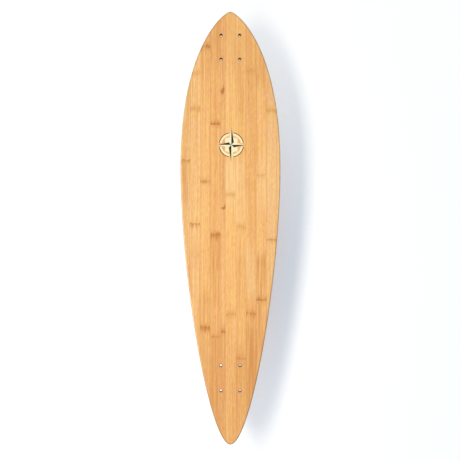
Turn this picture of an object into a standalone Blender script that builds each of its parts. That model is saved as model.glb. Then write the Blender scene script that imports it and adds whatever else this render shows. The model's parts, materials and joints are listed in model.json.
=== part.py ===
"""Bare pintail longboard deck: maple plies pressed between two faces of edge-glued bamboo strips.

Metres, +Z up. The nose points along +Y, X runs across the deck and the underside lies at Z = 0.
"""

import math

import bmesh
import bpy
from mathutils import Matrix, Vector
from mathutils.geometry import interpolate_bezier

# Outline, seen from above
DECK_LENGTH = 0.948
DECK_WIDTH = 0.219
NOSE_TO_WIDEST = 0.345
NOSE_TIP_RADIUS = 0.004
TAIL_TIP_RADIUS = 0.0084
NOSE_FULLNESS = 0.783  # share of the front half that the widest point pulls straight
TAIL_FULLNESS = 0.397  # the same for the long tapering tail
OUTLINE_STEPS = 24  # points on each quarter of the outline

# Lay-up, from the underside to the top
FACE_THICKNESS = 0.0010
LONG_PLY_THICKNESS = 0.0014
CROSS_PLY_THICKNESS = 0.00115
CORE_GRAIN = ("long", "cross", "long", "long", "long", "cross", "long")
GLUE_LINE = 0.00005  # clearance between neighbouring plies and strips

# Cold press: a flat middle that the trucks seat on, with rails that curve up
FLAT_WIDTH = 0.064
CONCAVE_RISE = 0.005
PRESS_FACETS = 5  # flats that make up the curve of each rail

# Router pass along both edges
EDGE_RADIUS = 0.0025
ROUTED_TIP_SHARE = 0.8  # share of a tip's radius that the router may take at most

# Bamboo strips of a face sheet, with one ripped strip where two sheets are spliced
STRIP_WIDTH = 0.0222
SPLICE_WIDTH = 0.0113
SPLICE_LEFT = -0.0216  # left edge of the ripped strip, from the centre line
NARROWEST_RAIL_STRIP = 0.006  # a thinner leftover stays part of its neighbour

# Bolt holes for two trucks, four to a truck
BOLT_PITCH_LONG = 0.053975
BOLT_PITCH_ACROSS = 0.041275
BOLT_HOLE_DIAMETER = 0.0056
NOSE_TO_BOLTS = 0.0535
TAIL_TO_BOLTS = 0.1155
BOLT_HOLE_SIDES = 16
DRILL_OVERRUN = 0.004

# Linear colour, roughness and metallic value of each wood
BAMBOO = ("bamboo, flat-pressed strips, clear coat", (0.80, 0.44, 0.17, 1.0), 0.42, 0.0)
LONG_MAPLE = ("maple veneer, long grain", (0.72, 0.50, 0.28, 1.0), 0.55, 0.0)
CROSS_MAPLE = ("maple veneer, cross grain", (0.50, 0.31, 0.15, 1.0), 0.62, 0.0)

PLY_THICKNESS = {"long": LONG_PLY_THICKNESS, "cross": CROSS_PLY_THICKNESS}
CORE_THICKNESS = sum(PLY_THICKNESS[grain] + GLUE_LINE for grain in CORE_GRAIN)
DECK_THICKNESS = 2 * FACE_THICKNESS + GLUE_LINE + CORE_THICKNESS
NOSE_Y = DECK_LENGTH / 2
TAIL_Y = -DECK_LENGTH / 2
FACET_WIDTH = (DECK_WIDTH - FLAT_WIDTH) / 2 / PRESS_FACETS
EDGE_ROUND = min(EDGE_RADIUS, ROUTED_TIP_SHARE * min(NOSE_TIP_RADIUS, TAIL_TIP_RADIUS))


def clear_scene():
    """Removes what a new scene starts with."""
    for obj in list(bpy.data.objects):
        bpy.data.objects.remove(obj, do_unlink=True)


def new_collection(name):
    collection = bpy.data.collections.new(name)
    bpy.context.scene.collection.children.link(collection)
    return collection


def wood(finish):
    """A Principled material from its name, colour, roughness and metallic value."""
    name, colour, roughness, metallic = finish
    material = bpy.data.materials.new(name)
    material.use_nodes = True
    shader = material.node_tree.nodes["Principled BSDF"]
    shader.inputs["Base Color"].default_value = colour
    shader.inputs["Roughness"].default_value = roughness
    shader.inputs["Metallic"].default_value = metallic
    return material


def tip_handle(radius, fullness, run):
    """Length of the handle that gives a rounded tip this radius, on a curve with this much run."""
    return math.sqrt(2 * radius * (1 - fullness) * run / 3)


def deck_outline():
    """The outline as an anticlockwise ring of points: two curves a side, meeting at the widest point."""
    nose = Vector((0, NOSE_Y, 0))
    tail = Vector((0, TAIL_Y, 0))
    widest = Vector((DECK_WIDTH / 2, NOSE_Y - NOSE_TO_WIDEST, 0))
    nose_run = NOSE_TO_WIDEST
    tail_run = DECK_LENGTH - NOSE_TO_WIDEST
    tail_handle = tail + Vector((tip_handle(TAIL_TIP_RADIUS, TAIL_FULLNESS, tail_run), 0, 0))
    nose_handle = nose + Vector((tip_handle(NOSE_TIP_RADIUS, NOSE_FULLNESS, nose_run), 0, 0))
    rail_back = widest - Vector((0, TAIL_FULLNESS * tail_run, 0))
    rail_front = widest + Vector((0, NOSE_FULLNESS * nose_run, 0))
    right = interpolate_bezier(tail, tail_handle, rail_back, widest, OUTLINE_STEPS + 1)
    right += interpolate_bezier(widest, rail_front, nose_handle, nose, OUTLINE_STEPS + 1)[1:]
    left = [Vector((-point.x, point.y, 0)) for point in reversed(right[1:-1])]
    return right + left


def inset_ring(outline, inset):
    """The outline moved inwards, square to itself."""
    count = len(outline)
    ring = []
    for index, point in enumerate(outline):
        along = outline[(index + 1) % count] - outline[index - 1]
        inward = Vector((-along.y, along.x, 0)).normalized()
        ring.append(point + inset * inward)
    return ring


def edge_inset(height):
    """How far the routed edge stands in from the outline, at a height in the flat lay-up."""
    depth = min(height, DECK_THICKNESS - height)
    if depth >= EDGE_ROUND:
        return 0.0
    return EDGE_ROUND - math.sqrt(EDGE_ROUND**2 - (EDGE_ROUND - depth) ** 2)


def press_lines():
    """Where the press bends the sheets, from the left rail to the right one."""
    right = [FLAT_WIDTH / 2 + index * FACET_WIDTH for index in range(PRESS_FACETS)]
    return sorted([-x for x in right] + right)


def press_rise(x):
    """Lift of the press at a place across the deck: a parabola drawn as flats."""
    steps = max(0.0, abs(x) - FLAT_WIDTH / 2) / FACET_WIDTH
    whole = math.floor(steps)
    squares = whole**2 + (steps - whole) * (2 * whole + 1)
    return CONCAVE_RISE * squares / PRESS_FACETS**2


def pressed_sheet(bottom, top):
    """A full sheet between two heights of the lay-up: edge rings lofted, capped, and bent in the press."""
    outline = deck_outline()
    heights = [bottom, top]
    if edge_inset(bottom) != edge_inset(top):
        heights.insert(1, (bottom + top) / 2)
    bm = bmesh.new()
    rings = []
    for height in heights:
        ring = inset_ring(outline, edge_inset(height))
        rings.append([bm.verts.new((point.x, point.y, height)) for point in ring])
    for lower, upper in zip(rings, rings[1:]):
        for index in range(len(outline)):
            after = (index + 1) % len(outline)
            bm.faces.new((lower[index], lower[after], upper[after], upper[index]))
    bm.faces.new(list(reversed(rings[0])))
    bm.faces.new(rings[-1])
    for x in press_lines():
        everything = bm.verts[:] + bm.edges[:] + bm.faces[:]
        bmesh.ops.bisect_plane(bm, geom=everything, plane_co=(x, 0, 0), plane_no=(1, 0, 0))
    for vertex in bm.verts:
        vertex.co.z += press_rise(vertex.co.x)
    return bm


def rip(bm, x, keep):
    """Saws the sheet lengthwise at x, keeps the side that keep (+1 or -1) points to, and caps the cut."""
    everything = bm.verts[:] + bm.edges[:] + bm.faces[:]
    cut = bmesh.ops.bisect_plane(
        bm, geom=everything, plane_co=(x, 0, 0), plane_no=(keep, 0, 0), clear_inner=True
    )
    edges = [item for item in cut["geom_cut"] if isinstance(item, bmesh.types.BMEdge)]
    bmesh.ops.edgeloop_fill(bm, edges=edges)


def strip_limits():
    """Name, left limit and right limit of each bamboo strip, counted outwards from the splice.

    The two strips at the rails run past the outline, which trims them.
    """
    reach = DECK_WIDTH / 2 - NARROWEST_RAIL_STRIP
    splice_right = SPLICE_LEFT + SPLICE_WIDTH
    strips = [("splice", SPLICE_LEFT, splice_right)]
    for side, inner, way in (("left", SPLICE_LEFT, -1), ("right", splice_right, 1)):
        number = 1
        while way * inner < reach:
            outer = inner + way * STRIP_WIDTH
            if way * outer > reach:
                outer = way * DECK_WIDTH
            strips.append((f"{side}_{number}", min(inner, outer), max(inner, outer)))
            inner = outer
            number += 1
    return strips


def bolt_places():
    """Centres of the eight bolt holes."""
    front = NOSE_Y - NOSE_TO_BOLTS
    rear = TAIL_Y + TAIL_TO_BOLTS
    rows = (front, front - BOLT_PITCH_LONG, rear + BOLT_PITCH_LONG, rear)
    return [(side * BOLT_PITCH_ACROSS / 2, y) for y in rows for side in (-1, 1)]


def add_object(name, bm, collection, material=None):
    bmesh.ops.recalc_face_normals(bm, faces=bm.faces[:])
    mesh = bpy.data.meshes.new(name)
    bm.to_mesh(mesh)
    bm.free()
    if material:
        mesh.materials.append(material)
    obj = bpy.data.objects.new(name, mesh)
    collection.objects.link(obj)
    return obj


def make_drill(collection):
    """The eight drill cuts, which run past both faces."""
    bm = bmesh.new()
    depth = DECK_THICKNESS + 2 * DRILL_OVERRUN
    for x, y in bolt_places():
        bmesh.ops.create_cone(
            bm,
            cap_ends=True,
            segments=BOLT_HOLE_SIDES,
            radius1=BOLT_HOLE_DIAMETER / 2,
            radius2=BOLT_HOLE_DIAMETER / 2,
            depth=depth,
            matrix=Matrix.Translation((x, y, DECK_THICKNESS / 2)),
        )
    drill = add_object("truck_bolt_drill", bm, collection)
    drill.hide_render = True
    drill.display_type = "WIRE"
    return drill


def drill_through(obj, drill):
    cut = obj.modifiers.new("truck_bolt_holes", "BOOLEAN")
    cut.operation = "DIFFERENCE"
    cut.solver = "EXACT"
    cut.object = drill


def make_face(label, bottom, collection, drill, material):
    """One bamboo face, ripped into strips that are drilled where a bolt passes."""
    reach = BOLT_HOLE_DIAMETER / 2
    for place, left, right in strip_limits():
        bm = pressed_sheet(bottom, bottom + FACE_THICKNESS)
        if left > -DECK_WIDTH / 2:
            rip(bm, left + GLUE_LINE / 2, 1)
        if right < DECK_WIDTH / 2:
            rip(bm, right - GLUE_LINE / 2, -1)
        strip = add_object(f"{label}_strip_{place}", bm, collection, material)
        if any(left - reach < x < right + reach for x, _ in bolt_places()):
            drill_through(strip, drill)


def make_core(collection, drill, materials):
    """The maple plies, stacked from just over the bottom face."""
    bottom = FACE_THICKNESS + GLUE_LINE
    for number, grain in enumerate(CORE_GRAIN, start=1):
        bm = pressed_sheet(bottom, bottom + PLY_THICKNESS[grain])
        ply = add_object(f"core_ply_{number}_{grain}", bm, collection, materials[grain])
        drill_through(ply, drill)
        bottom += PLY_THICKNESS[grain] + GLUE_LINE


def main():
    clear_scene()
    deck = new_collection("pintail_longboard_deck")
    cutters = new_collection("cutters")
    cutters.hide_render = True
    drill = make_drill(cutters)
    bamboo = wood(BAMBOO)
    make_face("bottom", 0.0, deck, drill, bamboo)
    make_core(deck, drill, {"long": wood(LONG_MAPLE), "cross": wood(CROSS_MAPLE)})
    make_face("top", DECK_THICKNESS - FACE_THICKNESS, deck, drill, bamboo)


main()
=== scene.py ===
# %% [markdown]
# A bare pintail longboard deck
#
# The real deck is a sandwich: two faces of bamboo slats, glued edge to edge, over a core of maple
# veneers, pressed into a shallow trough and routed round at the edges. The solids of every slat and
# ply already exist in the frame, at their real size, so this lesson only dresses them: it sets the
# camera and the light, gives each slat its own bamboo, shows the maple at the edge, and prints a
# small ornament near the nose.

# %% Load the frame
import json
import math

import bmesh
import bpy
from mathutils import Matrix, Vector


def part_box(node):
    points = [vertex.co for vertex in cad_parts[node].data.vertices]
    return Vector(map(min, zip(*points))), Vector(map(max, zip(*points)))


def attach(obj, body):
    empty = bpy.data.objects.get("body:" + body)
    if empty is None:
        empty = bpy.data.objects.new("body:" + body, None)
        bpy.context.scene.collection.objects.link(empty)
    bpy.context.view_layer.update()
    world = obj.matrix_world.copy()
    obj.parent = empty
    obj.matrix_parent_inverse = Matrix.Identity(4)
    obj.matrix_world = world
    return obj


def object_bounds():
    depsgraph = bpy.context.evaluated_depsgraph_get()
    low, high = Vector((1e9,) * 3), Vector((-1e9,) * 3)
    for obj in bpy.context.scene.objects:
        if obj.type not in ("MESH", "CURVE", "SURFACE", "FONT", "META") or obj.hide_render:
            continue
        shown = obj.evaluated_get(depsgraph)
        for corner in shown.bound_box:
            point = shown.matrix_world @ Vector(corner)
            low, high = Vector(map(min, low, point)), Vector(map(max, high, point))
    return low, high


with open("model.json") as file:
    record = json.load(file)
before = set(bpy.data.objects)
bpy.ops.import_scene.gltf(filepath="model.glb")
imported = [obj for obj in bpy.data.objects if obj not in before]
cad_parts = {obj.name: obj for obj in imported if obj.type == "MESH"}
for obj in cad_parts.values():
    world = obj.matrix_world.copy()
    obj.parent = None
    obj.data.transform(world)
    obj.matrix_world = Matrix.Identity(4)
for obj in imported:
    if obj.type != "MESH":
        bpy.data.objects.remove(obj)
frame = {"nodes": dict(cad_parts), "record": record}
CAD_LOW, CAD_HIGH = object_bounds()
MM = 0.001
NOSE_Y = CAD_HIGH.y
TOP_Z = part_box("top_strip_right_1")[1][2]  # height of the flat middle of the top face
print("deck in mm:", [round((high - low) / MM, 1) for low, high in zip(CAD_LOW, CAD_HIGH)])

# %% [markdown]
# The camera
#
# The photograph looks down on the deck with the nose at the top. The two groups of bolt holes are the
# same size on any deck, yet the tail's group looks a little larger, so the camera stands slightly
# towards the tail. A distance and a tilt reproduce that. The frame is square, and it takes in a known
# width of the deck's plane, which gives the lens.

# %% Camera
VIEW_DISTANCE = 1.65  # metres
VIEW_TILT = math.radians(3.05)  # from straight above
FRAME_WIDTH = 1.0039  # metres of the deck's plane that the picture takes in
AIM = Vector((-0.0009, -0.0112, TOP_Z))  # the point in the middle of the picture
SENSOR_WIDTH = 36.0  # mm

camera_data = bpy.data.cameras.new("camera")
camera_data.sensor_width = SENSOR_WIDTH
camera_data.lens = SENSOR_WIDTH * VIEW_DISTANCE / FRAME_WIDTH
camera = bpy.data.objects.new("camera", camera_data)
bpy.context.scene.collection.objects.link(camera)
toward_camera = Vector((0, -math.sin(VIEW_TILT), math.cos(VIEW_TILT)))
camera.location = AIM + VIEW_DISTANCE * toward_camera
camera.rotation_euler = (VIEW_TILT, 0, 0)
bpy.context.scene.camera = camera
bpy.context.scene.view_settings.view_transform = "Standard"
print("lens in mm:", round(camera_data.lens, 1))

# %% [markdown]
# Colours and nodes
#
# Paint charts and photographs give colours as sRGB hex values, but a shader computes in linear light,
# so one function converts them. A second function adds a shader node, sets its properties, and fills
# each input with either a plain value or a link. With it, a material reads as a list of steps. An input
# is given by its name, or by its number where a node has several inputs of one name.

# %% Helpers for colour and nodes
SHARE, UNDER, OVER = 0, 6, 7  # inputs of a Mix node that mixes colours: OVER covers UNDER by SHARE
MIXED = 2  # and its output


def linear(hex_colour, share=(1.0, 1.0, 1.0)):
    """Linear RGBA of an sRGB hex colour, with each channel multiplied by its share."""
    channels = [int(hex_colour[start : start + 2], 16) / 255 for start in (1, 3, 5)]
    # the numbers in the next line are those of the sRGB standard
    light = [c / 12.92 if c <= 0.04045 else ((c + 0.055) / 1.055) ** 2.4 for c in channels]
    return (*[value * part for value, part in zip(light, share)], 1.0)


def add_node(tree, kind, inputs=None, **settings):
    """The outputs of a new node, whose inputs are linked to sockets or set to values."""
    made = tree.nodes.new(kind)
    for name, value in settings.items():
        setattr(made, name, value)
    for name, value in (inputs or {}).items():
        if isinstance(value, bpy.types.NodeSocket):
            tree.links.new(value, made.inputs[name])
        else:
            made.inputs[name].default_value = value
    return made.outputs


def empty_material(name):
    """A material whose node tree has nothing in it yet."""
    material = bpy.data.materials.new(name)
    material.use_nodes = True
    material.node_tree.nodes.clear()
    return material


print("honey-coloured bamboo in linear light:", [round(value, 3) for value in linear("#F3BA75")])

# %% [markdown]
# Studio light
#
# One broad, slightly warm lamp at the left throws a soft shadow to the right, and a cool, even world
# fills it. A second lamp would throw a second shadow. Lamp and world add up to about one at the deck, so
# a colour renders as it is written. The world is plain white only for rays that show it to the eye,
# straight or in a gloss.

# %% Lamp and world
LAMP_PLACE = Vector((-1.1, -0.1, 1.65))  # metres
LAMP_SIZE = (1.6, 0.55)  # metres, along the deck and across it
LAMP_POWER = 32.0  # watts
LAMP_COLOUR = "#FFF5E8"
FILL_LEVEL = 0.46
FILL_COLOUR = "#E6F0FF"
WHITE = (1.0, 1.0, 1.0, 1.0)

lamp_data = bpy.data.lights.new("broad_lamp", "AREA")
lamp_data.shape = "RECTANGLE"
lamp_data.size, lamp_data.size_y = LAMP_SIZE
lamp_data.energy = LAMP_POWER
lamp_data.color = linear(LAMP_COLOUR)[:3]
lamp = bpy.data.objects.new("broad_lamp", lamp_data)
lamp.location = LAMP_PLACE
lamp.rotation_euler = (-LAMP_PLACE).to_track_quat("-Z", "Y").to_euler()
bpy.context.scene.collection.objects.link(lamp)


def seen_by_eye(tree):
    """1 for rays that show a backdrop, straight or in a gloss, and 0 for rays that gather light."""
    rays = add_node(tree, "ShaderNodeLightPath")
    straight = {0: rays["Is Camera Ray"], 1: rays["Is Transmission Ray"]}
    seen = add_node(tree, "ShaderNodeMath", straight, operation="MAXIMUM")[0]
    return add_node(tree, "ShaderNodeMath", {0: seen, 1: rays["Is Glossy Ray"]}, operation="MAXIMUM")[0]


world = bpy.data.worlds.new("studio_world")
world.use_nodes = True
world.node_tree.nodes.clear()
bpy.context.scene.world = world
sky = world.node_tree
fill = add_node(sky, "ShaderNodeBackground", {"Color": linear(FILL_COLOUR), "Strength": FILL_LEVEL})[0]
white = add_node(sky, "ShaderNodeBackground", {"Color": WHITE, "Strength": 1.0})[0]
sky_light = add_node(sky, "ShaderNodeMixShader", {0: seen_by_eye(sky), 1: fill, 2: white})[0]
add_node(sky, "ShaderNodeOutputWorld", {"Surface": sky_light})
print("lamp stands", round(LAMP_PLACE.length, 2), "m from the deck")

# %% [markdown]
# A sweep of white paper
#
# The deck is shown over white paper that lies some way below it, so its shadow falls clear of the edge.
# Paper alone would look grey wherever the deck takes some of the sky from it, so it also glows a little
# for the eye. Away from the deepest shade it turns plain white by degrees, which hides the horizon in
# low views. Its underside lets the view through, so the deck can be looked at from below too.

# %% Sweep
SWEEP_DROP = 0.09  # metres below the deck
SWEEP_SIZE = 8.0  # metres
PAPER_COLOUR = "#FFFAF4"
PAPER_GLOW = 0.36
PAPER_GLOW_COLOUR = "#C7E8FF"
DEEPEST_SHADE = (0.0, -0.1, 0.0)  # metres from the middle of the paper
SHADE_FADES = (0.12, 0.95)  # metres from there: the shade starts to fade, and is gone

# uncoated paper, pressed matt: the eye sees an even white without gloss
paper = empty_material("matt white paper")
tree = paper.node_tree
seen = seen_by_eye(tree)
from_below = add_node(tree, "ShaderNodeNewGeometry")["Backfacing"]
spot = add_node(tree, "ShaderNodeTexCoord")["Object"]
away = add_node(tree, "ShaderNodeVectorMath", {0: spot, 1: DEEPEST_SHADE}, operation="DISTANCE")["Value"]
fade = {"Value": away, "From Min": SHADE_FADES[0], "From Max": SHADE_FADES[1], "To Min": 0.0, "To Max": seen}
whitened = add_node(tree, "ShaderNodeMapRange", fade)[0]
glow_level = add_node(tree, "ShaderNodeMath", {0: seen, 1: PAPER_GLOW}, operation="MULTIPLY")[0]
matt = add_node(tree, "ShaderNodeBsdfDiffuse", {"Color": linear(PAPER_COLOUR)})[0]
glow = add_node(tree, "ShaderNodeEmission", {"Color": linear(PAPER_GLOW_COLOUR), "Strength": glow_level})[0]
lit_paper = add_node(tree, "ShaderNodeAddShader", {0: matt, 1: glow})[0]
plain_white = add_node(tree, "ShaderNodeEmission", {"Color": WHITE, "Strength": 1.0})[0]
front = add_node(tree, "ShaderNodeMixShader", {0: whitened, 1: lit_paper, 2: plain_white})[0]
clear = add_node(tree, "ShaderNodeBsdfTransparent")[0]
surface = add_node(tree, "ShaderNodeMixShader", {0: from_below, 1: front, 2: clear})[0]
add_node(tree, "ShaderNodeOutputMaterial", {"Surface": surface})

bpy.ops.mesh.primitive_plane_add(size=SWEEP_SIZE, location=(0, 0, -SWEEP_DROP))
sweep = bpy.context.object
sweep.name = "white_sweep"
sweep.data.materials.append(paper)
print("sweep lies", SWEEP_DROP / MM, "mm below the deck")

# %% [markdown]
# Flat-pressed bamboo: the fibres
#
# A bamboo stalk is split into slats, which are planed flat, dried and glued edge to edge. What the eye
# sees is the wall of the stalk: straight fibres that run the whole length, pale and dark by turns. An
# image texture could show them, but it would be one picture of one board. Here noise is stretched along
# the deck, to grains whose size is given in millimetres. Three sizes of grain are laid over each other.

# %% Fibres
BROAD_FIBRE = (7.0, 420.0)  # mm across and along: bands of fibres that share a shade
FINE_FIBRE = (2.2, 190.0)  # real fibres are about 0.3 mm across; drawn coarser, so that they show
FLECK = (2.1, 10.0)  # short dashes where a bundle of vessels was cut, also drawn coarser than 0.4 mm
FIBRE_LAYERS = ((BROAD_FIBRE, 0.2), (FINE_FIBRE, 0.46), (FLECK, 0.34))  # each with its weight
FIBRE_SPREAD = (0.39, 0.61)  # the layers' sum in the darkest and in the palest fibres
GRAIN_DETAIL = 2.0  # layers of finer noise inside each grain
SEED_STEP = (7.3, 3.1, 0.0)  # grains from the noise of one seed to that of the next
LAYER_SEED = 0.3  # seeds from one layer of fibres to the next


def grain(tree, place, size, seed):
    """Noise from 0 to 1 with grains of the given size in mm, across and along the deck."""
    across, along = (1 / (length * MM) for length in size)
    offset = [seed * step for step in SEED_STEP]
    stretch = {"Vector": place, "Location": offset, "Scale": (across, along, across)}
    stretched = add_node(tree, "ShaderNodeMapping", stretch)[0]
    noise = {"Vector": stretched, "Scale": 1.0, "Detail": GRAIN_DETAIL}
    return add_node(tree, "ShaderNodeTexNoise", noise)["Fac"]


def fibre_shade(tree, place, seed):
    """0 in the darkest fibres and 1 in the palest: bands, fibres and flecks together."""
    total = 0.0
    for number, (size, weight) in enumerate(FIBRE_LAYERS):
        layer = grain(tree, place, size, seed + LAYER_SEED * number)
        sum_so_far = {0: layer, 1: weight, 2: total}
        total = add_node(tree, "ShaderNodeMath", sum_so_far, operation="MULTIPLY_ADD")[0]
    darkest, palest = FIBRE_SPREAD
    spread = {"Value": total, "From Min": darkest, "From Max": palest}
    return add_node(tree, "ShaderNodeMapRange", spread)[0]


print("a fibre is drawn", FINE_FIBRE[0], "mm wide")

# %% [markdown]
# Flat-pressed bamboo: knuckles
#
# Every 25 to 35 cm a wall crossed the hollow stalk. There the slat shows a knuckle: an orange-brown line
# over its whole width, slightly bowed, with short strokes like a comb where fibres turn aside. Some are
# strong and some only a shadow, so each kind has its own line, strokes and haze. All are worked out from
# the distance to a place on the slat, roughened by the same stretched noise as the fibres.

# %% Kinds of knuckle
KNUCKLE_BROWN = "#C07008"
FAINT_BROWN = "#D89434"
KNUCKLE_SIZES = {
    # mm: half the height of the line, its bow, and the strokes towards the nose and the tail
    "comb": (2.8, 4.5, 10.0, 22.0),
    "band": (4.2, 2.5, 14.0, 6.0),
    "thin": (2.4, 7.0, 4.0, 16.0),
    "ghost": (4.0, 6.0, 14.0, 14.0),
    "block": (6.2, 1.5, 18.0, 3.0),
}
KNUCKLE_SHARES = {
    # share of the brown in the line, in its gaps, in the strokes and in the haze
    "comb": (1.0, 0.5, 0.8, 0.3),
    "band": (1.0, 0.65, 0.6, 0.3),
    "thin": (0.9, 0.4, 0.6, 0.1),
    "ghost": (0.8, 0.4, 0.9, 0.4),
    "block": (1.0, 0.45, 0.5, 0.25),
}
KINDS = tuple(KNUCKLE_SIZES)
KNUCKLE_TINTS = dict.fromkeys(KINDS, KNUCKLE_BROWN) | {"ghost": FAINT_BROWN}
print("kinds of knuckle:", ", ".join(KINDS))

# %% [markdown]
# Drawing a knuckle
#
# A knuckle could be raised from the surface, but planing took its height away, so it is colour alone. The
# distance to the line is bent by one noise, which bows the line. Another noise is the comb: it breaks the
# line up, and it sets how far each stroke reaches. A soft haze round the line comes last. Wherever these
# lie over each other, the strongest counts.

# %% Drawing a knuckle
COMB_STROKE = (3.4, 60.0)  # mm: one stroke of a knuckle's comb; a real one is half as wide
COMB_GAPS = (0.38, 0.62)  # that noise where the comb is open and where it is full
LINE_CORE_SHARE = 0.2  # of the line's half height, before it starts to fade
STROKE_CORE_SHARE = 0.1  # of a stroke's length, before it starts to fade
SHORTEST_STROKE = 0.5  # mm
STROKE_SEAM = 0.5  # mm either side of the line, where the strokes of its two sides meet
BOW = (10.0, 300.0)  # mm: how quickly a knuckle's line bends across the slat
BOW_SEED = 0.7  # sets the noise of the bow apart from that of the comb
HAZE = 16.0  # mm from a knuckle's line to the end of its haze
TOWARD_NOSE, TOWARD_TAIL = -1, 1


def stroke_share(tree, comb, past, longest, darkest):
    """Strokes of uneven length, up to the longest in metres, on the side where past is above zero."""
    open_comb, full_comb = COMB_GAPS
    lengths = {"Value": comb, "From Min": open_comb, "From Max": full_comb}
    lengths |= {"To Min": SHORTEST_STROKE * MM, "To Max": longest}
    length = add_node(tree, "ShaderNodeMapRange", lengths)[0]
    ratio = add_node(tree, "ShaderNodeMath", {0: past, 1: length}, operation="DIVIDE")[0]
    begun = {"Value": past, "From Min": -STROKE_SEAM * MM, "From Max": STROKE_SEAM * MM}
    begun |= {"To Min": 0.0, "To Max": darkest}
    darkness = add_node(tree, "ShaderNodeMapRange", begun)[0]
    faded = {"Value": ratio, "From Min": STROKE_CORE_SHARE, "From Max": 1.0}
    faded |= {"To Min": darkness, "To Max": 0.0}
    return add_node(tree, "ShaderNodeMapRange", faded, interpolation_type="SMOOTHSTEP")[0]


def knuckle_share(tree, place, along, from_nose, kind, seed):
    """How strongly a knuckle shows: its line, broken by the comb, its strokes and its haze."""
    half_height, bow, *strokes = (length * MM for length in KNUCKLE_SIZES[kind])
    line_share, gap_share, darkest_stroke, haze_share = KNUCKLE_SHARES[kind]
    open_comb, full_comb = COMB_GAPS
    comb = grain(tree, place, COMB_STROKE, seed)
    bend = grain(tree, place, BOW, seed + BOW_SEED)
    straight = {0: NOSE_Y - from_nose * MM - bow, 1: along}
    past = add_node(tree, "ShaderNodeMath", straight, operation="SUBTRACT")[0]
    past = add_node(tree, "ShaderNodeMath", {0: bend, 1: 2 * bow, 2: past}, operation="MULTIPLY_ADD")[0]
    away = add_node(tree, "ShaderNodeMath", {0: past}, operation="ABSOLUTE")[0]

    breaks = {"Value": comb, "From Min": open_comb, "From Max": full_comb}
    breaks |= {"To Min": gap_share, "To Max": line_share}
    strength = add_node(tree, "ShaderNodeMapRange", breaks)[0]
    line = {"Value": away, "From Min": LINE_CORE_SHARE * half_height, "From Max": half_height}
    line |= {"To Min": strength, "To Max": 0.0}
    share = add_node(tree, "ShaderNodeMapRange", line, interpolation_type="SMOOTHSTEP")[0]
    for way, longest in zip((TOWARD_NOSE, TOWARD_TAIL), strokes):
        outward = add_node(tree, "ShaderNodeMath", {0: past, 1: way}, operation="MULTIPLY")[0]
        stroke = stroke_share(tree, comb, outward, longest, darkest_stroke)
        share = add_node(tree, "ShaderNodeMath", {0: share, 1: stroke}, operation="MAXIMUM")[0]
    haze = {"Value": away, "From Min": 0.0, "From Max": HAZE * MM, "To Min": haze_share, "To Max": 0.0}
    cloud = add_node(tree, "ShaderNodeMapRange", haze, interpolation_type="SMOOTHSTEP")[0]
    return add_node(tree, "ShaderNodeMath", {0: share, 1: cloud}, operation="MAXIMUM")[0]


print("a stroke of the comb is drawn", COMB_STROKE[0], "mm wide")

# %% [markdown]
# Flat-pressed bamboo: stains
#
# Heat and drying leave smoky stretches on some slats, and bleached ones on others. Both soak in by streaks,
# along the fibres, and fade out at their ends. A painted mask could place them, but two distances from the
# nose are easier to read and to change. Each mark is again a share from 0 to 1, which the material then
# turns into colour.

# %% Stains
SOFT_END = 18.0  # mm to either side of its end, over which a stain or a dark line fades out
STAIN_STREAK = (4.0, 130.0)  # mm: one of the streaks that a stain soaks in by
STREAK_SPREAD = (0.34, 0.66)  # that noise where nothing soaks in, and where the stain is full


def stretch_share(tree, along, start, end, strength):
    """The strength between two distances from the nose in mm, fading out softly at both ends."""
    middle = NOSE_Y - 0.5 * (start + end) * MM
    half_length = 0.5 * (end - start)
    away = add_node(tree, "ShaderNodeMath", {0: along, 1: middle}, operation="SUBTRACT")[0]
    away = add_node(tree, "ShaderNodeMath", {0: away}, operation="ABSOLUTE")[0]
    ends = {"Value": away, "To Min": strength, "To Max": 0.0}
    ends |= {"From Min": (half_length - SOFT_END) * MM, "From Max": (half_length + SOFT_END) * MM}
    return add_node(tree, "ShaderNodeMapRange", ends, interpolation_type="SMOOTHSTEP")[0]


def soaked_share(tree, place, along, stain, seed):
    """A stain or a bleach that soaks in by streaks, from its two ends and its strength."""
    start, end, strength = stain
    dry, full = STREAK_SPREAD
    stretch = stretch_share(tree, along, start, end, strength)
    streaks = grain(tree, place, STAIN_STREAK, seed + start)
    soaked = {"Value": streaks, "From Min": dry, "From Max": full, "To Min": 0.0, "To Max": stretch}
    return add_node(tree, "ShaderNodeMapRange", soaked)[0]


print("a stain fades out over", 2 * SOFT_END, "mm")

# %% [markdown]
# Flat-pressed bamboo: dark lines and eyes
#
# Now and then a dark line follows the fibres, with a slight sway, and where a bud grew on the stalk there
# is a small dark crescent, an eye. Both could be cut in as geometry, but on the real slat they are only
# colour. A line is the distance to a swaying path, broken up by flecks. An eye is one blot with another
# taken out of it, both with a wavering outline.

# %% Dark lines and eyes
LINE_WANDER = (30.0, 70.0)  # mm: how a dark line sways along the slat
LINE_SWAY = 2.5  # mm to either side
LINE_CORE, LINE_EDGE = 0.3, 1.5  # mm from the middle of a dark line to the end of its core, and to its edge
LINE_BREAKS = (0.4, 0.6)  # noise of the flecks in a dark line's gaps, and where the line is full
LINE_GAP = 0.35  # share of a dark line's strength that is left in its gaps
GAP_SEED = 0.2  # sets the noise of the gaps apart from that of the sway
EYE_UNEVEN = (5.0, 12.0)  # mm: how quickly the outline of an eye wavers
EYE_ROUGHNESS = 1.2  # by how much it does, as a share of the eye's half size
EYE_CORE = 0.4  # share of the half size that is dark all over
EYE_HOLLOW = (-0.25, 0.45, 0.0)  # middle of the pale hollow, across and towards the nose, as such shares
EYE_HOLLOW_SIZE = 0.8  # of the eye's own size


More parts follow.
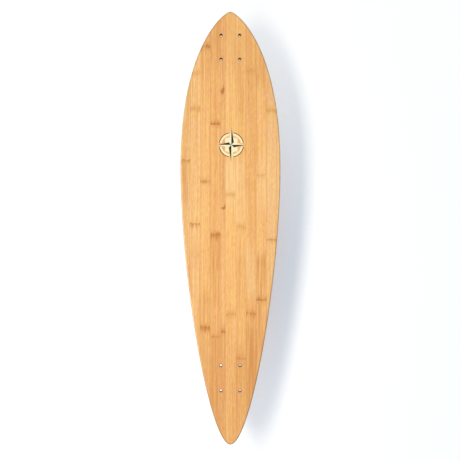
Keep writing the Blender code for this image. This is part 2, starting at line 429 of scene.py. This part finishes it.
def dark_line_share(tree, place, axes, line, seed):
    """A thin line along the fibres, from its place across, its two ends from the nose, and its strength."""
    across, start, end, strength = line
    sway = grain(tree, place, LINE_WANDER, seed)
    offset = {0: axes["X"], 1: (across + LINE_SWAY) * MM}
    aside = add_node(tree, "ShaderNodeMath", offset, operation="SUBTRACT")[0]
    swayed = {0: sway, 1: 2 * LINE_SWAY * MM, 2: aside}
    aside = add_node(tree, "ShaderNodeMath", swayed, operation="MULTIPLY_ADD")[0]
    aside = add_node(tree, "ShaderNodeMath", {0: aside}, operation="ABSOLUTE")[0]
    broken = grain(tree, place, FLECK, seed + GAP_SEED)
    gaps = {"Value": broken, "From Min": LINE_BREAKS[0], "From Max": LINE_BREAKS[1]}
    gaps |= {"To Min": LINE_GAP * strength, "To Max": strength}
    uneven = add_node(tree, "ShaderNodeMapRange", gaps)[0]
    darkness = stretch_share(tree, axes["Y"], start, end, uneven)
    width = {"Value": aside, "From Min": LINE_CORE * MM, "From Max": LINE_EDGE * MM}
    width |= {"To Min": darkness, "To Max": 0.0}
    return add_node(tree, "ShaderNodeMapRange", width, interpolation_type="SMOOTHSTEP")[0]


def eye_share(tree, place, eye, seed):
    """A blot with a pale hollow, from its place across and from the nose, its half size, its strength."""
    across, from_nose, half_width, half_height, strength = eye
    centre = (across * MM, NOSE_Y - from_nose * MM, TOP_Z)
    outward = add_node(tree, "ShaderNodeVectorMath", {0: place, 1: centre}, operation="SUBTRACT")[0]
    # a whole metre of height, so that height hardly counts
    half_size = (half_width * MM, half_height * MM, 1.0)
    unit = add_node(tree, "ShaderNodeVectorMath", {0: outward, 1: half_size}, operation="DIVIDE")[0]
    uneven = grain(tree, place, EYE_UNEVEN, seed)
    shares = []
    for middle, size in (((0, 0, 0), 1.0), (EYE_HOLLOW, EYE_HOLLOW_SIZE)):
        away = add_node(tree, "ShaderNodeVectorMath", {0: unit, 1: middle}, operation="DISTANCE")["Value"]
        wavering = {0: uneven, 1: EYE_ROUGHNESS, 2: away}
        away = add_node(tree, "ShaderNodeMath", wavering, operation="MULTIPLY_ADD")[0]
        blot = {"Value": away, "From Min": EYE_CORE * size + EYE_ROUGHNESS / 2, "To Min": strength}
        blot |= {"From Max": size + EYE_ROUGHNESS / 2, "To Max": 0.0}
        shares.append(add_node(tree, "ShaderNodeMapRange", blot, interpolation_type="SMOOTHSTEP")[0])
    crescent = {0: shares[0], 1: shares[1]}
    return add_node(tree, "ShaderNodeMath", crescent, operation="SUBTRACT", use_clamp=True)[0]


print("a dark line is drawn", 2 * LINE_EDGE, "mm wide")

# %% [markdown]
# Flat-pressed bamboo: seams, and painted shade on the edges and in the holes
#
# Two slats meet in a glued seam, which shows as a faint darker line. Round the outline the deck is routed
# to a small radius, and there a brown painted shade darkens the surface where it turns down, away from
# the light. The wall and the rim of each bolt hole carry a darker painted shade too. All three could be
# painted by hand, but they follow from the shape: from the distance to the slat's side, from how far the
# surface has turned, and from the distance to the nearest hole.

# %% Seams, and painted shade on edges and in holes
SEAM = 0.8  # mm beside a glued seam that looks darker; the real line is thinner
SEAM_DARKNESS = 0.25
EDGE_SHADE_TURN = (0.99, 0.96)  # upward part of the surface's normal where the painted edge shade starts, and is full
EDGE_SHADE_MOST = 0.53  # share of the painted shade's brown there
HOLE_RADIUS = 2.8 * MM
WITHOUT_HEIGHT = (1, 1, 0)  # share of each axis that counts in the distance to a hole
FAR_AWAY = 1.0  # metres, further than any hole


def seam_share(tree, across, edge):
    """The faint shadow beside a seam at a place across the deck in metres."""
    aside = add_node(tree, "ShaderNodeMath", {0: across, 1: edge}, operation="SUBTRACT")[0]
    aside = add_node(tree, "ShaderNodeMath", {0: aside}, operation="ABSOLUTE")[0]
    seam = {"Value": aside, "From Min": 0.0, "From Max": SEAM * MM}
    seam |= {"To Min": SEAM_DARKNESS, "To Max": 0.0}
    return add_node(tree, "ShaderNodeMapRange", seam)[0]


def painted_edge_shade_share(tree):
    """Painted shade on the routed edge: how far the surface has turned down or up into it."""
    facing = add_node(tree, "ShaderNodeNewGeometry")["True Normal"]
    upward = add_node(tree, "ShaderNodeSeparateXYZ", {"Vector": facing})["Z"]
    upward = add_node(tree, "ShaderNodeMath", {0: upward}, operation="ABSOLUTE")[0]
    routed = {"Value": upward, "From Min": EDGE_SHADE_TURN[0], "From Max": EDGE_SHADE_TURN[1]}
    routed |= {"To Min": 0.0, "To Max": EDGE_SHADE_MOST}
    return add_node(tree, "ShaderNodeMapRange", routed)[0]


def painted_hole_shade_share(tree, place, holes, rim):
    """Painted hole shade: 1 on the nearest hole's wall, fading to 0 over a rim in mm; holes are points in
    metres.
    """
    flat = add_node(tree, "ShaderNodeVectorMath", {0: place, 1: WITHOUT_HEIGHT}, operation="MULTIPLY")[0]
    nearest = FAR_AWAY
    for x, y in holes:
        reach = {0: flat, 1: (x, y, 0)}
        away = add_node(tree, "ShaderNodeVectorMath", reach, operation="DISTANCE")["Value"]
        nearest = add_node(tree, "ShaderNodeMath", {0: away, 1: nearest}, operation="MINIMUM")[0]
    mark = {"Value": nearest, "From Min": HOLE_RADIUS, "From Max": HOLE_RADIUS + rim * MM}
    return add_node(tree, "ShaderNodeMapRange", mark | {"To Min": 1.0, "To Max": 0.0})[0]


print("the routed edge starts at a turn of", round(math.degrees(math.acos(EDGE_SHADE_TURN[0])), 1), "degrees")

# %% [markdown]
# Flat-pressed bamboo: a clean slat
#
# A slat without marks still isn't of one colour. Each fibre is darker or paler than the slat's own tone,
# patches lean to yellow or to orange, and towards the tail a painted shade makes the slats a little darker.
# The tone is multiplied by these shares one after the other, so one hex value sets the whole slat.

# %% Clean slat
PALE_FIBRE = (1.04, 1.1, 1.18)  # share of the slat's tone, per channel, in the palest and darkest fibres
DARK_FIBRE = (0.86, 0.72, 0.55)
WARM_PATCH = (6.0, 28.0)  # mm: patches that lean to yellow or to orange
PATCH_SPREAD = (0.35, 0.65)  # that noise where a patch is all yellow, and all orange
PATCH_SEED = 0.5  # sets the noise of the patches apart from that of the fibres
YELLOW_PATCH = (1.0, 1.03, 0.92)
ORANGE_PATCH = (1.0, 0.96, 1.04)
# painted shade: share of the tone at the tail, as if less light reached it
TAIL_PAINTED_SHADE = (0.91, 0.85, 0.81)
TAIL_PAINTED_SHADE_FROM, TAIL_PAINTED_SHADE_FULL = 600.0, 860.0  # mm from the nose


def clean_bamboo(tree, place, along, shade, tone, seed):
    """The colour of a slat before its marks, from its tone, the shade of its fibres and a painted tail
    shade.
    """
    fibres = {SHARE: shade, UNDER: linear(tone, DARK_FIBRE), OVER: linear(tone, PALE_FIBRE)}
    colour = add_node(tree, "ShaderNodeMix", fibres, data_type="RGBA")[MIXED]
    warmth = grain(tree, place, WARM_PATCH, seed + PATCH_SEED)
    lean = {"Value": warmth, "From Min": PATCH_SPREAD[0], "From Max": PATCH_SPREAD[1]}
    leaning = add_node(tree, "ShaderNodeMapRange", lean)[0]
    leans = {SHARE: leaning, UNDER: (*YELLOW_PATCH, 1), OVER: (*ORANGE_PATCH, 1)}
    patches = add_node(tree, "ShaderNodeMix", leans, data_type="RGBA")[MIXED]
    patched = {SHARE: 1.0, UNDER: colour, OVER: patches}
    colour = add_node(tree, "ShaderNodeMix", patched, data_type="RGBA", blend_type="MULTIPLY")[MIXED]
    # painted shade: darker towards the tail, as if less light reached it
    tail = {"Value": along, "From Min": NOSE_Y - TAIL_PAINTED_SHADE_FROM * MM}
    tail |= {"From Max": NOSE_Y - TAIL_PAINTED_SHADE_FULL * MM}
    tailward = add_node(tree, "ShaderNodeMapRange", tail, interpolation_type="SMOOTHSTEP")[0]
    darker = {SHARE: tailward, UNDER: colour, OVER: (*TAIL_PAINTED_SHADE, 1)}
    return add_node(tree, "ShaderNodeMix", darker, data_type="RGBA", blend_type="MULTIPLY")[MIXED]


print("the tail is darker from", TAIL_PAINTED_SHADE_FROM, "mm behind the nose")

# %% [markdown]
# Flat-pressed bamboo: the material
#
# The colour is laid on in order: the clean slat, then its stains, dark lines, eyes and knuckles, then
# the glued seams, and last the painted shade on the routed edge and in the bolt holes. A satin clear
# coat covers it all, and the eye sees it as a soft sheen. The fibres stand up under it by a few
# hundredths of a millimetre, which breaks up that sheen.

# %% Bamboo material
STAIN_BROWN = "#D6903E"
BLEACHED = "#FFDDA0"
LINE_BROWN = "#B87636"
EYE_BROWN = "#B46608"
SEAM_BROWN = "#C98A4A"
# the browns of the painted shade on the routed edge and in the bolt holes
PAINTED_EDGE_SHADE = "#7F6247"
PAINTED_HOLE_SHADE = "#5A3210"
HOLE_SHADE_RIM = 1.8  # mm round a hole that the painted shade reaches
KNUCKLE_SEED = 2.0  # seeds from one knuckle to the next
SATIN = (0.46, 0.36)  # roughness over the darkest and over the palest fibres
CLEAR_COAT, COAT_ROUGHNESS = 0.5, 0.18  # how much of a coat there is, and how rough
FIBRE_RELIEF = 0.06 * MM
RELIEF_STRENGTH = 0.3  # how much of a relief shows in the light
WOOD_IOR = 1.5  # usual for wood, lacquer and dried ink


# planed bamboo under sprayed lacquer: the eye sees straight fibres below a soft sheen
def flat_pressed_bamboo(
    name, tone, edges, seed, knuckles=(), stains=(), bleaches=(), lines=(), eyes=(), holes=()
):
    """Bamboo for one slat between two edges in metres, with its marks placed in mm from the nose."""
    material = empty_material(name)
    tree = material.node_tree
    place = add_node(tree, "ShaderNodeTexCoord")["Object"]
    axes = add_node(tree, "ShaderNodeSeparateXYZ", {"Vector": place})
    across, along = axes["X"], axes["Y"]
    shade = fibre_shade(tree, place, seed)
    colour = clean_bamboo(tree, place, along, shade, tone, seed)

    marks = [(soaked_share(tree, place, along, stain, seed), STAIN_BROWN) for stain in stains]
    marks += [(soaked_share(tree, place, along, bleach, seed), BLEACHED) for bleach in bleaches]
    for number, line in enumerate(lines):
        marks.append((dark_line_share(tree, place, axes, line, seed + number), LINE_BROWN))
    for number, eye in enumerate(eyes):
        marks.append((eye_share(tree, place, eye, seed + number), EYE_BROWN))
    for number, (from_nose, strength, kind) in enumerate(knuckles):
        share = knuckle_share(tree, place, along, from_nose, kind, seed + KNUCKLE_SEED * number)
        share = add_node(tree, "ShaderNodeMath", {0: share, 1: strength}, operation="MULTIPLY")[0]
        marks.append((share, KNUCKLE_TINTS[kind]))
    marks += [(seam_share(tree, across, edge), SEAM_BROWN) for edge in edges]
    # painted shade on the routed edge, darker where the surface turns down
    marks.append((painted_edge_shade_share(tree), PAINTED_EDGE_SHADE))
    # painted shade on the wall and the rim of each bolt hole
    if holes:
        marks.append((painted_hole_shade_share(tree, place, holes, HOLE_SHADE_RIM), PAINTED_HOLE_SHADE))
    for share, tint in marks:
        tinted = {SHARE: share, UNDER: colour, OVER: linear(tint)}
        colour = add_node(tree, "ShaderNodeMix", tinted, data_type="RGBA")[MIXED]

    satin = {"Value": shade, "To Min": SATIN[0], "To Max": SATIN[1]}
    roughness = add_node(tree, "ShaderNodeMapRange", satin)[0]
    relief = {"Height": shade, "Strength": RELIEF_STRENGTH, "Distance": FIBRE_RELIEF}
    normal = add_node(tree, "ShaderNodeBump", relief)[0]
    coated = {"Base Color": colour, "Roughness": roughness, "IOR": WOOD_IOR, "Normal": normal}
    coated |= {"Coat Weight": CLEAR_COAT, "Coat Roughness": COAT_ROUGHNESS}
    wood = add_node(tree, "ShaderNodeBsdfPrincipled", coated)[0]
    add_node(tree, "ShaderNodeOutputMaterial", {"Surface": wood})
    return material


print("the fibres stand up by", round(FIBRE_RELIEF / MM, 2), "mm")

# %% [markdown]
# Where the holes and edges are
#
# The record gives the middle of the two pads that a truck is bolted to. The four holes of a pad follow
# the standard truck pattern around it. A slat's edges come from its own box, and so it knows which of
# the holes cut into it. Typed in again, these places would stay behind when the deck changes.

# %% Holes, edges and dressing
BOLTS_ACROSS, BOLTS_ALONG = 41.275 * MM, 53.975 * MM
pads = [mount["pos_m"] for mount in frame["record"]["mounts"] if mount["name"].endswith("truck_pad")]
corners = [(side * BOLTS_ACROSS / 2, end * BOLTS_ALONG / 2) for side in (-1, 1) for end in (-1, 1)]
HOLE_PLACES = [(pad[0] + across, pad[1] + along) for pad in pads for across, along in corners]


def slat_edges(node):
    """The two sides of a slat, as places across the deck in metres."""
    low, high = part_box(node)
    return low[0], high[0]


def holes_near(edges):
    """The drilled holes that a slat between two edges shows a part of."""
    margin = HOLE_RADIUS + HOLE_SHADE_RIM * MM
    return [(x, y) for x, y in HOLE_PLACES if edges[0] - margin < x < edges[1] + margin]


def dress(node, material):
    """Puts the material in the only slot of a solid."""
    mesh = frame["nodes"][node].data
    mesh.materials.clear()
    mesh.materials.append(material)


print("bolt holes:", len(HOLE_PLACES))

# %% [markdown]
# The top face, slat by slat
#
# Tone, knuckles and stains are chosen for each slat, as a maker lays out slats before gluing.
# A knuckle is given by its distance from the nose in millimetres, by how strong it is, and by its kind.
# A stain or a bleach has its two ends and its strength. A line has its place across the deck before
# these, and an eye has its place across, its distance from the nose, its half size and its strength.

# %% Top face
PALE, CREAM, SAND = "#FCC880", "#FDC576", "#F6C27C"
STRAW, HONEY, AMBER = "#FAC174", "#F7BC6F", "#F7BC72"
FIRST_TOP_SEED = 1
TOP_SLATS = {
    "left_4": {"tone": SAND, "knuckles": [(333, 1.0, "thin")], "stains": [(335, 425, 0.7)]},
    "left_3": {
        "tone": PALE,
        "knuckles": [(139, 0.5, "ghost"), (217, 0.7, "ghost"), (471, 1.0, "thin")],
        "stains": [(520, 720, 0.35)],
    },
    "left_2": {
        "tone": STRAW,
        "knuckles": [(78, 1.0, "comb"), (379, 0.8, "block"), (696, 1.0, "comb")],
        "stains": [(30, 150, 0.5), (620, 700, 0.6), (700, 900, 0.45)],
    },
    "left_1": {
        "tone": HONEY,
        "knuckles": [(251, 1.0, "band"), (495, 1.0, "comb"), (717, 0.6, "band")],
        "stains": [(0, 120, 0.7), (495, 575, 0.95), (575, 650, 0.5), (720, 910, 0.7)],
    },
    "splice": {
        "tone": AMBER,
        "knuckles": [(706, 1.0, "band")],
        "stains": [(690, 820, 0.6)],
        "lines": [(-17.0, 105, 215, 0.5), (-16.0, 300, 425, 0.6)],
        "eyes": [(-18.0, 175, 7.0, 14.0, 1.0), (-16.0, 435, 7.0, 10.0, 0.9)],
    },
    "right_1": {
        "tone": CREAM,
        "knuckles": [(408, 0.7, "ghost"), (669, 1.0, "ghost")],
        "stains": [(0, 140, 0.3)],
        "bleaches": [(330, 430, 0.65)],
    },
    "right_2": {
        "tone": CREAM,
        "knuckles": [(479, 0.8, "ghost"), (764, 0.55, "band")],
        "stains": [(60, 240, 0.3), (540, 660, 0.4), (740, 880, 0.4)],
        "bleaches": [(330, 480, 0.4)],
    },
    "right_3": {
        "tone": HONEY,
        "knuckles": [(133, 0.6, "ghost"), (384, 0.2, "ghost"), (666, 0.9, "comb")],
        "stains": [(690, 870, 1.0)],
        "bleaches": [(520, 630, 0.4)],
        "lines": [(40.0, 140, 260, 0.35)],
    },
    "right_4": {
        "tone": STRAW,
        "knuckles": [(363, 0.5, "thin"), (637, 0.95, "band")],
        "stains": [(80, 170, 0.6), (540, 640, 1.0), (640, 780, 0.85)],
        "bleaches": [(330, 440, 0.3)],
    },
    "right_5": {"tone": SAND, "knuckles": [(223, 0.8, "ghost"), (505, 1.0, "thin")]},
    "right_6": {"tone": SAND},
}

for seed, (slat, look) in enumerate(TOP_SLATS.items(), start=FIRST_TOP_SEED):
    node = "top_strip_" + slat
    edges = slat_edges(node)
    name = "flat-pressed bamboo, top " + slat
    dress(node, flat_pressed_bamboo(name, edges=edges, seed=seed, holes=holes_near(edges), **look))
print("top slats dressed:", len(TOP_SLATS))

# %% [markdown]
# The bottom face
#
# The underside is made of the same slats, but nobody lays them out by eye. A rule is enough there: each
# slat starts its row of knuckles at another distance from the nose, and tones and kinds take turns.

# %% Bottom face
KNUCKLE_PITCH = 285  # mm between two knuckles of a stalk, a usual distance
KNUCKLES_A_SLAT = 3
FIRST_KNUCKLE = 60  # mm from the nose
SLAT_SHIFT = 107  # mm by which the next slat's knuckles lie further on
KIND_SHIFT = 2  # kinds by which the next slat's row of knuckles starts further on
KNUCKLE_STRENGTHS = (0.7, 0.85, 1.0)
BOTTOM_TONES = (HONEY, PALE, AMBER, STRAW)
FIRST_BOTTOM_SEED = 40

for number, slat in enumerate(TOP_SLATS):
    node = "bottom_strip_" + slat
    edges = slat_edges(node)
    first = FIRST_KNUCKLE + SLAT_SHIFT * number % KNUCKLE_PITCH
    knuckles = []
    for turn in range(KNUCKLES_A_SLAT):
        strength = KNUCKLE_STRENGTHS[(number + turn) % len(KNUCKLE_STRENGTHS)]
        kind = KINDS[(KIND_SHIFT * number + turn) % len(KINDS)]
        knuckles.append((first + KNUCKLE_PITCH * turn, strength, kind))
    wood = flat_pressed_bamboo(
        "flat-pressed bamboo, bottom " + slat,
        tone=BOTTOM_TONES[number % len(BOTTOM_TONES)],
        edges=edges,
        seed=FIRST_BOTTOM_SEED + number,
        knuckles=knuckles,
        holes=holes_near(edges),
    )
    dress(node, wood)
print("bottom slats dressed:", len(TOP_SLATS))

# %% [markdown]
# Rotary-cut maple at the edge
#
# A veneer lathe peels maple logs into long sheets. Only their sanded edges show, as fine stripes round
# the deck. A ply that runs along the deck shows the sides of its fibres there, pale and streaked; a
# cross ply shows cut ends, which soak up lacquer and look darker and dotted. One brown for all would do
# from above, but a low view shows the stripes. So the two kinds differ in tone and in the shape of their
# grain. Both turn brown in patches that the router rubbed, and both carry the painted shade in the holes.

# %% Maple edges
MAPLE_KINDS = {
    # tone, size of a streak or pore in mm, across and along the deck, darkest share of the tone
    "long": ("#DEBB8C", (0.8, 45.0), (0.84, 0.78, 0.7)),
    "cross": ("#B98F60", (1.2, 1.2), (0.7, 0.62, 0.55)),
}
PORE_SPREAD = (0.35, 0.6)  # the noise of the pores where the tone is darkest, and where it is whole
RUBBED_PATCH = (60.0, 90.0)  # mm
RUBBED_SPREAD = (0.45, 0.75)  # that noise where the rubbing starts, and where it is strongest
RUBBED_SEED = 0.4  # sets the noise of the patches apart from that of the pores
RUBBED_BROWN = "#9A6B3C"
RUBBED_MOST = 0.35  # share of that brown in the most rubbed spots
BORE_SHADE_RIM = 0.4  # mm of ply round a hole that the painted shade reaches
PORE_RELIEF = 0.05 * MM
SANDED, TORN = 0.5, 0.95  # roughness of the edge, and of a hole's wall, which the drill tore
PORE_SHEEN = 0.12  # about a quarter of the usual reflection, because open pores soak up the lacquer
FIRST_MAPLE_SEED = 80


# peeled and sanded maple with open pores: the eye sees dull, fine streaks or dots
def rotary_cut_maple(name, tone, pores, dark_share, seed):
    """Maple for one veneer: sanded, streaked or dotted, with rubbed patches and painted shade in the holes.
    """
    material = empty_material(name)
    tree = material.node_tree
    place = add_node(tree, "ShaderNodeTexCoord")["Object"]
    fine = grain(tree, place, pores, seed)
    streaked = {"Value": fine, "From Min": PORE_SPREAD[0], "From Max": PORE_SPREAD[1]}
    streaks = add_node(tree, "ShaderNodeMapRange", streaked)[0]
    tones = {SHARE: streaks, UNDER: linear(tone, dark_share), OVER: linear(tone)}
    colour = add_node(tree, "ShaderNodeMix", tones, data_type="RGBA")[MIXED]
    rubbed = grain(tree, place, RUBBED_PATCH, seed + RUBBED_SEED)
    worn = {"Value": rubbed, "From Min": RUBBED_SPREAD[0], "From Max": RUBBED_SPREAD[1]}
    router_mark = add_node(tree, "ShaderNodeMapRange", worn | {"To Min": 0.0, "To Max": RUBBED_MOST})[0]
    # painted shade on the wall and the rim of each bolt hole; its share also makes the torn wall rougher
    hole_shade_and_tear = painted_hole_shade_share(tree, place, HOLE_PLACES, BORE_SHADE_RIM)
    for share, brown in ((router_mark, RUBBED_BROWN), (hole_shade_and_tear, PAINTED_HOLE_SHADE)):
        browned = {SHARE: share, UNDER: colour, OVER: linear(brown)}
        colour = add_node(tree, "ShaderNodeMix", browned, data_type="RGBA")[MIXED]
    relief = {"Height": fine, "Strength": RELIEF_STRENGTH, "Distance": PORE_RELIEF}
    normal = add_node(tree, "ShaderNodeBump", relief)[0]
    torn = {"Value": hole_shade_and_tear, "To Min": SANDED, "To Max": TORN}
    roughness = add_node(tree, "ShaderNodeMapRange", torn)[0]
    sanded = {"Base Color": colour, "Roughness": roughness, "IOR": WOOD_IOR, "Normal": normal}
    sanded |= {"Specular IOR Level": PORE_SHEEN}
    wood = add_node(tree, "ShaderNodeBsdfPrincipled", sanded)[0]
    add_node(tree, "ShaderNodeOutputMaterial", {"Surface": wood})
    return material


plies = sorted(name for name in frame["nodes"] if name.startswith("core_ply_"))
for seed, node in enumerate(plies, start=FIRST_MAPLE_SEED):
    kind = node.split("_")[-1]
    tone, pores, dark_share = MAPLE_KINDS[kind]
    dress(node, rotary_cut_maple("rotary-cut maple, " + node, tone, pores, dark_share, seed))
print("maple plies dressed:", len(plies))

# %% [markdown]
# A printed ornament
#
# Near the nose a maker may print something small under the clear coat. Here it is a compass rose, the
# old ornament of charts: four long points, half pale and half dark, four short ones between them, and
# a ring that is broken where the long points pass. It could be painted with nodes, but corners stay
# sharper as a thin film of ink: flat shapes raised by a few hundredths of a millimetre, with a hairline
# left between the colours, as a screen printer leaves it.

# %% Shapes of the ornament
LONG_POINTS = (30.0, 39.0, 30.0, 39.0)  # mm from the centre: to the right, nose, left and tail
SHORT_POINT = 19.5  # mm
WAIST = 8.0  # mm from the centre to the corner between two long points
SHORT_BASE = 0.3  # where a short point leaves the long point's side, as a share of that side
QUARTER = 90.0  # degrees from one long point to the next
RING_BANDS = {"pale": (21.5, 25.5), "dark": (26.2, 27.6)}  # mm
RING_ARC = (10.0, 80.0)  # degrees of each quarter where the ring is whole
RING_STEPS = 22


def polar(radius, degrees):
    """The point at a distance and an angle from the ornament's centre."""
    angle = math.radians(degrees)
    return Vector((radius * math.cos(angle), radius * math.sin(angle)))


def compass_shapes():
    """The outlines of the pale and the dark shapes, in mm about the ornament's centre."""
    shapes = {"pale": [], "dark": []}
    middle = Vector((0, 0))
    start, end = RING_ARC
    for number, length in enumerate(LONG_POINTS):
        turn = QUARTER * number
        next_length = LONG_POINTS[(number + 1) % len(LONG_POINTS)]
        tip = polar(length, turn)
        next_tip = polar(next_length, turn + QUARTER)
        before = polar(WAIST, turn - QUARTER / 2)
        after = polar(WAIST, turn + QUARTER / 2)
        short_tip = polar(SHORT_POINT, turn + QUARTER / 2)
        shapes["dark"].append((middle, before, tip))
        shapes["pale"].append((middle, tip, after))
        shapes["pale"].append((after, after.lerp(tip, SHORT_BASE), short_tip))
        shapes["pale"].append((after, short_tip, after.lerp(next_tip, SHORT_BASE)))
        steps = [turn + start + (end - start) * step / RING_STEPS for step in range(RING_STEPS + 1)]
        for ink, (inner, outer) in RING_BANDS.items():
            arc = [polar(outer, step) for step in steps] + [polar(inner, step) for step in reversed(steps)]
            shapes[ink].append(arc)
    return shapes


ornament = compass_shapes()
print("shapes to print:", {ink: len(outlines) for ink, outlines in ornament.items()})

# %% [markdown]
# Screen-printed ink
#
# Ink is pressed through a fine mesh and dries matt, so it has less sheen than the wood beside it, and the
# fibres below show through it a little as streaks. One function makes both colours, over the same kind
# of fibres as in the bamboo.

# %% Ink
INKS = {
    # tone, and share of the tone where the ink is thin over dark fibres
    "pale": ("#FFFCD4", (0.94, 0.91, 0.84)),
    "dark": ("#16100D", (1.7, 1.6, 1.5)),
}
DRIED_INK = 0.55  # roughness
INK_SHEEN = 0.25  # half of the usual reflection, because dried ink is porous
INK_RELIEF_STRENGTH = 0.2  # less than on bare wood, because the ink fills the hollows


# ink pressed through a mesh and dried: the eye sees flat colour with hardly a sheen
def screen_printed_ink(name, tone, thin_share, seed):
    """Matt ink that the fibres below streak a little."""
    material = empty_material(name)
    tree = material.node_tree
    place = add_node(tree, "ShaderNodeTexCoord")["Object"]
    shade = fibre_shade(tree, place, seed)
    tones = {SHARE: shade, UNDER: linear(tone, thin_share), OVER: linear(tone)}
    colour = add_node(tree, "ShaderNodeMix", tones, data_type="RGBA")[MIXED]
    relief = {"Height": shade, "Strength": INK_RELIEF_STRENGTH, "Distance": FIBRE_RELIEF}
    normal = add_node(tree, "ShaderNodeBump", relief)[0]
    dried = {"Base Color": colour, "Roughness": DRIED_INK, "IOR": WOOD_IOR, "Normal": normal}
    dried |= {"Specular IOR Level": INK_SHEEN}
    ink = add_node(tree, "ShaderNodeBsdfPrincipled", dried)[0]
    add_node(tree, "ShaderNodeOutputMaterial", {"Surface": ink})
    return material


print("inks to mix:", ", ".join(INKS))

# %% [markdown]
# Printing the shapes
#
# Each colour is one piece. Every shape has its outline below and again above, with a wall of small faces
# between the two, so the film is a thin solid and not a loose sheet. Extruding a face would give the same
# solid, but it lists the walls in another order on every run. Each triangle is first drawn in a little
# towards its own middle, which leaves the hairline to its neighbours.

# %% Printing
ORNAMENT_CENTRE = Vector((2.0 * MM, NOSE_Y - 298.0 * MM))
HAIRLINE = 0.97  # size of each triangle about its middle, which leaves the hairline
TRIANGLE = 3  # corners
INK_THICKNESS = 0.05 * MM
INK_LIFT = 0.01 * MM  # so that ink and wood don't share a plane
INK_BOTTOM = TOP_Z + INK_LIFT
INK_TOP = INK_BOTTOM + INK_THICKNESS
FIRST_INK_SEED = 90


def print_shapes(name, outlines, material):
    """One piece of thin closed films, one for each outline, on the flat of the top face."""
    mesh = bmesh.new()
    for outline in outlines:
        middle = sum(outline, Vector((0, 0))) / len(outline)
        shrink = HAIRLINE if len(outline) == TRIANGLE else 1.0
        spots = [ORNAMENT_CENTRE + (middle + (corner - middle) * shrink) * MM for corner in outline]
        below = [mesh.verts.new((spot.x, spot.y, INK_BOTTOM)) for spot in spots]
        above = [mesh.verts.new((spot.x, spot.y, INK_TOP)) for spot in spots]
        mesh.faces.new(below[::-1])
        mesh.faces.new(above)
        for number in range(len(spots)):
            mesh.faces.new((below[number - 1], below[number], above[number], above[number - 1]))
    bmesh.ops.recalc_face_normals(mesh, faces=mesh.faces)
    data = bpy.data.meshes.new(name)
    mesh.to_mesh(data)
    mesh.free()
    data.materials.append(material)
    piece = bpy.data.objects.new(name, data)
    bpy.context.scene.collection.objects.link(piece)
    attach(piece, "root")
    return piece


for seed, (ink, (tone, thin_share)) in enumerate(INKS.items(), start=FIRST_INK_SEED):
    material = screen_printed_ink("screen-printed ink, " + ink, tone, thin_share, seed)
    piece = print_shapes("ornament_" + ink, ornament[ink], material)
    print(piece.name, "has", len(piece.data.polygons), "faces")
